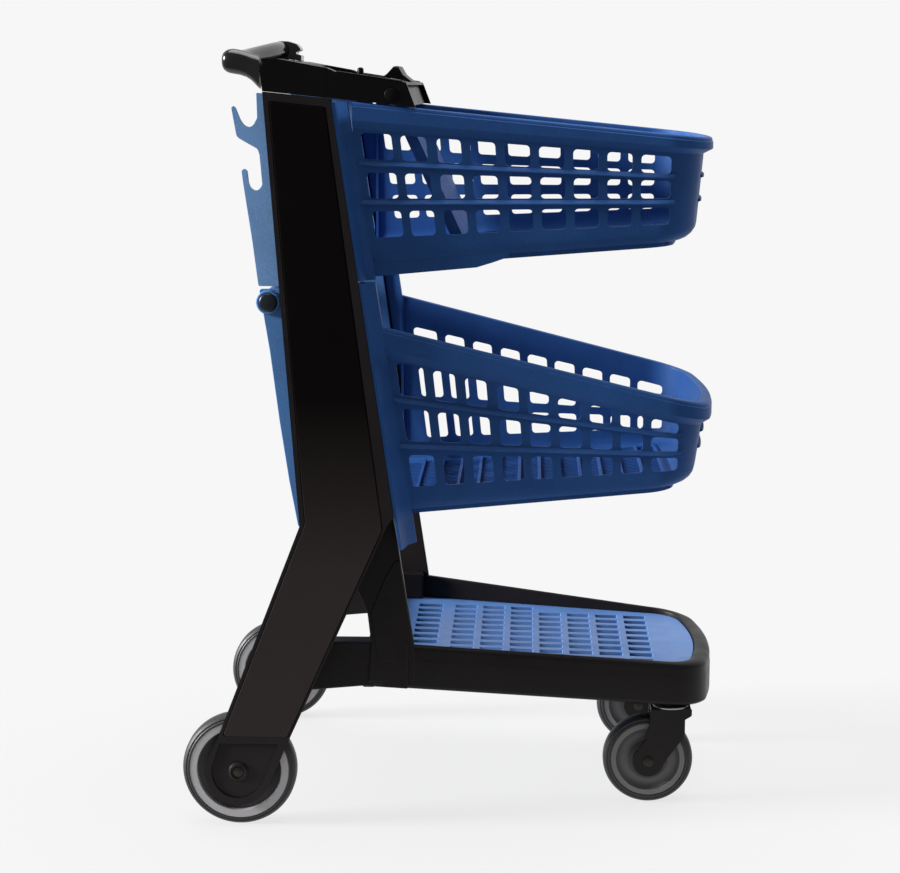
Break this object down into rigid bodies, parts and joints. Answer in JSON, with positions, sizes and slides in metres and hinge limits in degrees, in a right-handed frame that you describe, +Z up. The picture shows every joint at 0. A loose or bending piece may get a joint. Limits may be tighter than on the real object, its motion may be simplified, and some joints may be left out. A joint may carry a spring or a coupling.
{
  "type": "rolling basket trolley",
  "caption": "Two-tier plastic shopping trolley: open baskets over a low slotted platform, leaning side frames, push handle with console, swinging rear gates.",
  "frame": {"origin": "on the floor, under the middle of the trolley's length and width", "axes": "+X towards the trolley's front, where the casters are; +Y to its left; +Z up"},
  "size_m": [0.7065, 0.5204, 1.0178],
  "materials": {
    "blue_plastic": "fine moulded grain",
    "black_plastic": "satin moulded",
    "cover_black": "fine texture",
    "console_black": "semi-gloss",
    "handle_black": "gloss",
    "plug_blue": "satin moulded",
    "wheel_grey": "satin moulded",
    "caster_grey": "satin moulded",
    "tyre_rubber": "smooth rubber",
    "fastener_black": "black oxide",
    "steel": "zinc plated"
  },
  "bodies": {
    "root": {"upper_basket": "blue_plastic", "lower_basket": "blue_plastic", "platform_grille": "blue_plastic", "upper_hook_plate_left": "blue_plastic", "upper_hook_plate_right": "blue_plastic", "lower_hinge_plate_left": "blue_plastic", "lower_hinge_plate_right": "blue_plastic", "base_frame": "black_plastic", "console": "console_black", "list_clip": "console_black", "tray_peg": "console_black", "handle_centre": "handle_black", "upper_gate_rod": "steel", "lower_gate_rod": "steel", "side_frame_left": "black_plastic", "side_cover_left": "cover_black", "upper_rod_cap_left": "plug_blue", "lower_rod_cap_left": "plug_blue", "handle_end_left": "handle_black", "handle_grip_left": "handle_black", "rear_axle_bolt_left": "fastener_black", "rear_axle_nut_left": "steel", "caster_bearing_left": "steel", "caster_stem_left": "steel", "side_frame_right": "black_plastic", "side_cover_right": "cover_black", "upper_rod_cap_right": "plug_blue", "lower_rod_cap_right": "plug_blue", "handle_end_right": "handle_black", "handle_grip_right": "handle_black", "rear_axle_bolt_right": "fastener_black", "rear_axle_nut_right": "steel", "caster_bearing_right": "steel", "caster_stem_right": "steel"},
    "rear_wheel_left": {"rear_tyre_left": "tyre_rubber", "rear_hub_left": "wheel_grey", "rear_bush_left": "steel"},
    "caster_left": {"caster_fork_left": "black_plastic", "caster_axle_left": "fastener_black"},
    "caster_wheel_left": {"caster_tyre_left": "tyre_rubber", "caster_hub_left": "caster_grey", "caster_bush_left": "steel"},
    "rear_wheel_right": {"rear_tyre_right": "tyre_rubber", "rear_hub_right": "wheel_grey", "rear_bush_right": "steel"},
    "caster_right": {"caster_fork_right": "black_plastic", "caster_axle_right": "fastener_black"},
    "caster_wheel_right": {"caster_tyre_right": "tyre_rubber", "caster_hub_right": "caster_grey", "caster_bush_right": "steel"},
    "upper_gate": {"upper_gate": "blue_plastic"},
    "lower_gate": {"lower_gate": "blue_plastic"}
  },
  "joints": [
    {"name": "rear_wheel_left_spin", "type": "hinge", "parent": "root", "child": "rear_wheel_left", "pos_m": [-0.28, 0.2345, 0.075], "axis": [0, 1, 0], "continuous": true},
    {"name": "caster_left_swivel", "type": "hinge", "parent": "root", "child": "caster_left", "pos_m": [0.29, 0.129, 0.125], "axis": [0, 0, 1], "continuous": true},
    {"name": "caster_wheel_left_spin", "type": "hinge", "parent": "caster_left", "child": "caster_wheel_left", "pos_m": [0.26, 0.129, 0.0605], "axis": [0, 1, 0], "continuous": true},
    {"name": "rear_wheel_right_spin", "type": "hinge", "parent": "root", "child": "rear_wheel_right", "pos_m": [-0.28, -0.2345, 0.075], "axis": [0, 1, 0], "continuous": true},
    {"name": "caster_right_swivel", "type": "hinge", "parent": "root", "child": "caster_right", "pos_m": [0.29, -0.129, 0.125], "axis": [0, 0, 1], "continuous": true},
    {"name": "caster_wheel_right_spin", "type": "hinge", "parent": "caster_right", "child": "caster_wheel_right", "pos_m": [0.26, -0.129, 0.0605], "axis": [0, 1, 0], "continuous": true},
    {"name": "upper_gate_lift", "type": "hinge", "parent": "root", "child": "upper_gate", "pos_m": [-0.0788, 0, 0.9472], "axis": [0, -1, 0], "range_deg": [0, 57]},
    {"name": "lower_gate_lift", "type": "hinge", "parent": "root", "child": "lower_gate", "pos_m": [-0.2383, 0, 0.685], "axis": [0, -1, 0], "range_deg": [0, 56]}
  ]
}
